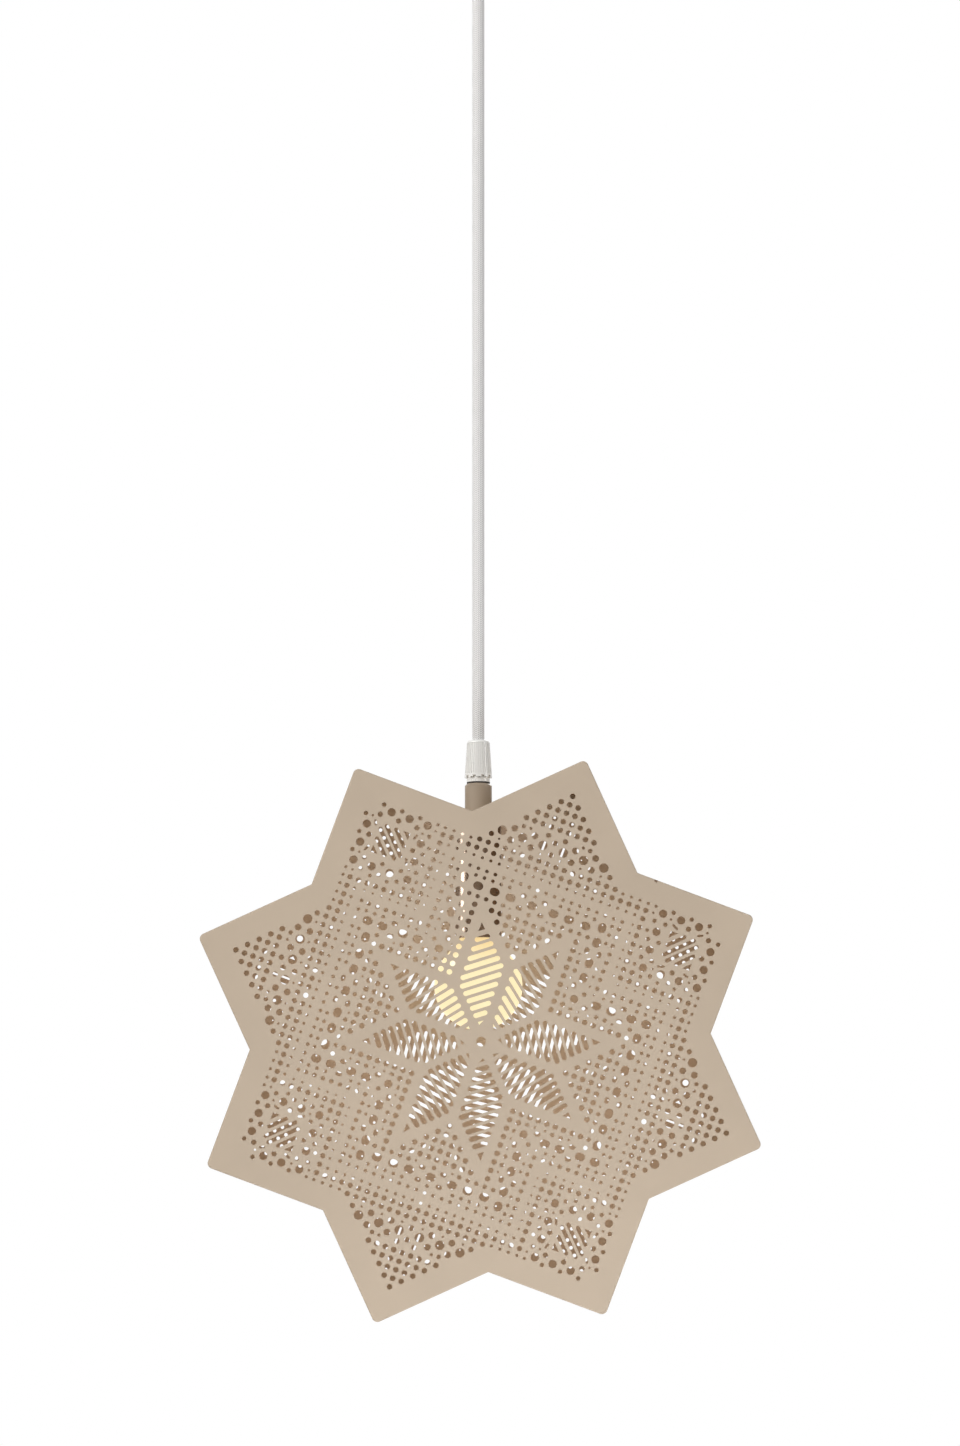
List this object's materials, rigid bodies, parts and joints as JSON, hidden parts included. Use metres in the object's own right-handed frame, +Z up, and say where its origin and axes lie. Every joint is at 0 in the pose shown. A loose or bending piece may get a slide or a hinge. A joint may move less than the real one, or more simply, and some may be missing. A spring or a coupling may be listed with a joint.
{
  "type": "star pendant lantern",
  "caption": "Flat eight-pointed star lantern of pierced sheet metal with a lamp inside, hung on a straight textile cord from a round ceiling canopy.",
  "frame": {"origin": "on the ceiling, midway between the bracket's two fixing holes, on the cord's axis", "axes": "+Z up, along the cord; the front plate faces -Y; +X to the right seen from the front"},
  "size_m": [0.2966, 0.097, 0.7748],
  "materials": {
    "shell_paint": "matt",
    "band_paint": "matt",
    "stem_paint": "satin",
    "sleeve_paint": "satin",
    "white_paint": "satin",
    "zinc": "satin",
    "dark_rubber": "matt",
    "white_plastic": "satin",
    "holder_plastic": "satin",
    "brass": "satin",
    "warm_glass": "clear",
    "cap_metal": "satin",
    "cap_glass": "gloss",
    "solder": "satin",
    "mount_glass": "clear",
    "filament": "matt",
    "cord_fabric": "woven",
    "core_sleeving": "satin"
  },
  "bodies": {
    "hung_frame": {"front_plate": "shell_paint", "side_band": "band_paint", "corner_gussets": "band_paint", "stem_tube": "stem_paint", "grip_washer": "dark_rubber", "threaded_nipple": "zinc", "grip_base": "white_plastic", "lampholder_sleeve": "sleeve_paint", "lock_washer": "zinc", "stem_nut": "zinc", "holder_cap": "holder_plastic", "holder_body": "holder_plastic", "contact_block": "holder_plastic", "terminal_screws": "brass", "earth_terminal": "brass", "centre_contact": "brass", "thread_shell": "brass", "cord": "cord_fabric", "holder_cores": "core_sleeving", "ceiling_bracket": "zinc", "canopy_screws": "zinc", "terminal_block": "white_plastic", "block_screws": "brass", "ceiling_cores": "core_sleeving"},
    "back_cover": {"back_plate": "shell_paint", "cover_screws": "zinc"},
    "grip_nut": {"grip_cone": "white_plastic"},
    "bulb": {"bulb_globe": "warm_glass", "bulb_cap": "cap_metal", "cap_insulator": "cap_glass", "cap_contact": "solder", "filament_mount": "mount_glass", "led_filaments": "filament"},
    "canopy": {"canopy_cup": "white_paint", "canopy_grip": "white_plastic", "canopy_grip_nut": "zinc", "canopy_lock_screws": "zinc"}
  },
  "joints": [
    {"name": "back_cover_pull", "type": "slide", "parent": "hung_frame", "child": "back_cover", "axis": [0, 1, 0], "range_m": [0, 0.12]},
    {"name": "bulb_unscrew", "type": "slide", "parent": "hung_frame", "child": "bulb", "axis": [0, 0, -1], "range_m": [0, 0.03]},
    {"name": "grip_nut_turn", "type": "hinge", "parent": "hung_frame", "child": "grip_nut", "pos_m": [0, 0, -0.471], "axis": [0, 0, 1], "continuous": true},
    {"name": "canopy_drop", "type": "slide", "parent": "hung_frame", "child": "canopy", "axis": [0, 0, -1], "range_m": [0, 0.15]}
  ]
}
